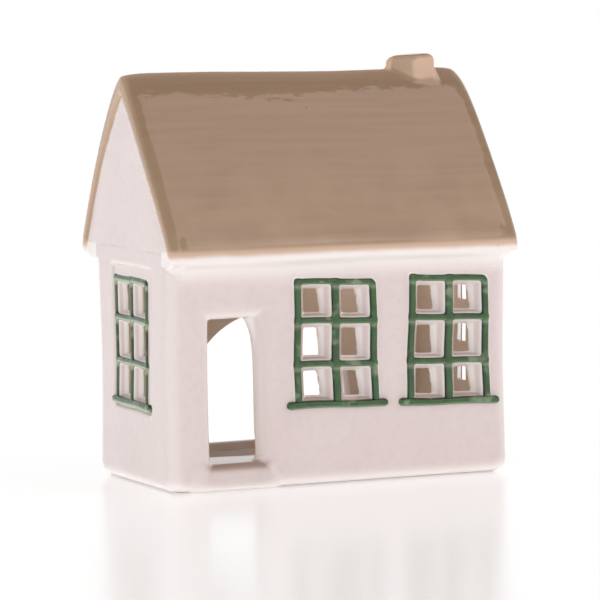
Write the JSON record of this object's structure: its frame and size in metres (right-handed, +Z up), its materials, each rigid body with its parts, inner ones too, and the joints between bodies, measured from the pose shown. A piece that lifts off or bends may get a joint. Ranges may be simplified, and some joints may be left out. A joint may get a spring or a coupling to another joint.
{
  "type": "tealight house",
  "caption": "Glazed ceramic cottage that holds a tealight: steep roof with a chimney, open doorway, barred pane windows and an open arch at the back where the tealight goes in.",
  "frame": {"origin": "under the middle of the house, on the surface that it stands on", "axes": "+X along the ridge to the right of someone who faces the door, +Y from the front to the back, +Z up"},
  "size_m": [0.1066, 0.0694, 0.1194],
  "materials": {
    "white_glaze": "glossy pinkish white glaze over a cast earthenware body",
    "roof_glaze": "glossy brown glaze, brushed along the roof and breaking pale on the edges",
    "green_glaze": "glossy green glaze, brushed on by hand",
    "cup_metal": "bright pressed foil",
    "sustainer_metal": "plain tinplate",
    "wick_cotton": "waxed braided cotton",
    "wax": "smooth translucent white paraffin wax"
  },
  "bodies": {
    "house": {"floor_slab": "white_glaze", "front_wall": "white_glaze", "back_wall": "white_glaze", "left_gable": "white_glaze", "right_gable": "white_glaze", "doorstep": "white_glaze", "roof_front_slab": "roof_glaze", "roof_back_slab": "roof_glaze", "chimney": "roof_glaze", "front_left_window_bars": "green_glaze", "front_right_window_bars": "green_glaze", "left_gable_window_bars": "green_glaze", "right_gable_window_bars": "green_glaze", "front_left_window_sill": "green_glaze", "front_right_window_sill": "green_glaze", "left_gable_window_sill": "green_glaze", "right_gable_window_sill": "green_glaze"},
    "tealight": {"tealight_cup": "cup_metal", "wick_sustainer": "sustainer_metal", "wick": "wick_cotton", "tealight_wax": "wax"}
  },
  "joints": [
    {"name": "tealight_slide", "type": "slide", "parent": "house", "child": "tealight", "axis": [-0.0553, 0.9791, 0.1958], "range_m": [0, 0.0633]}
  ]
}
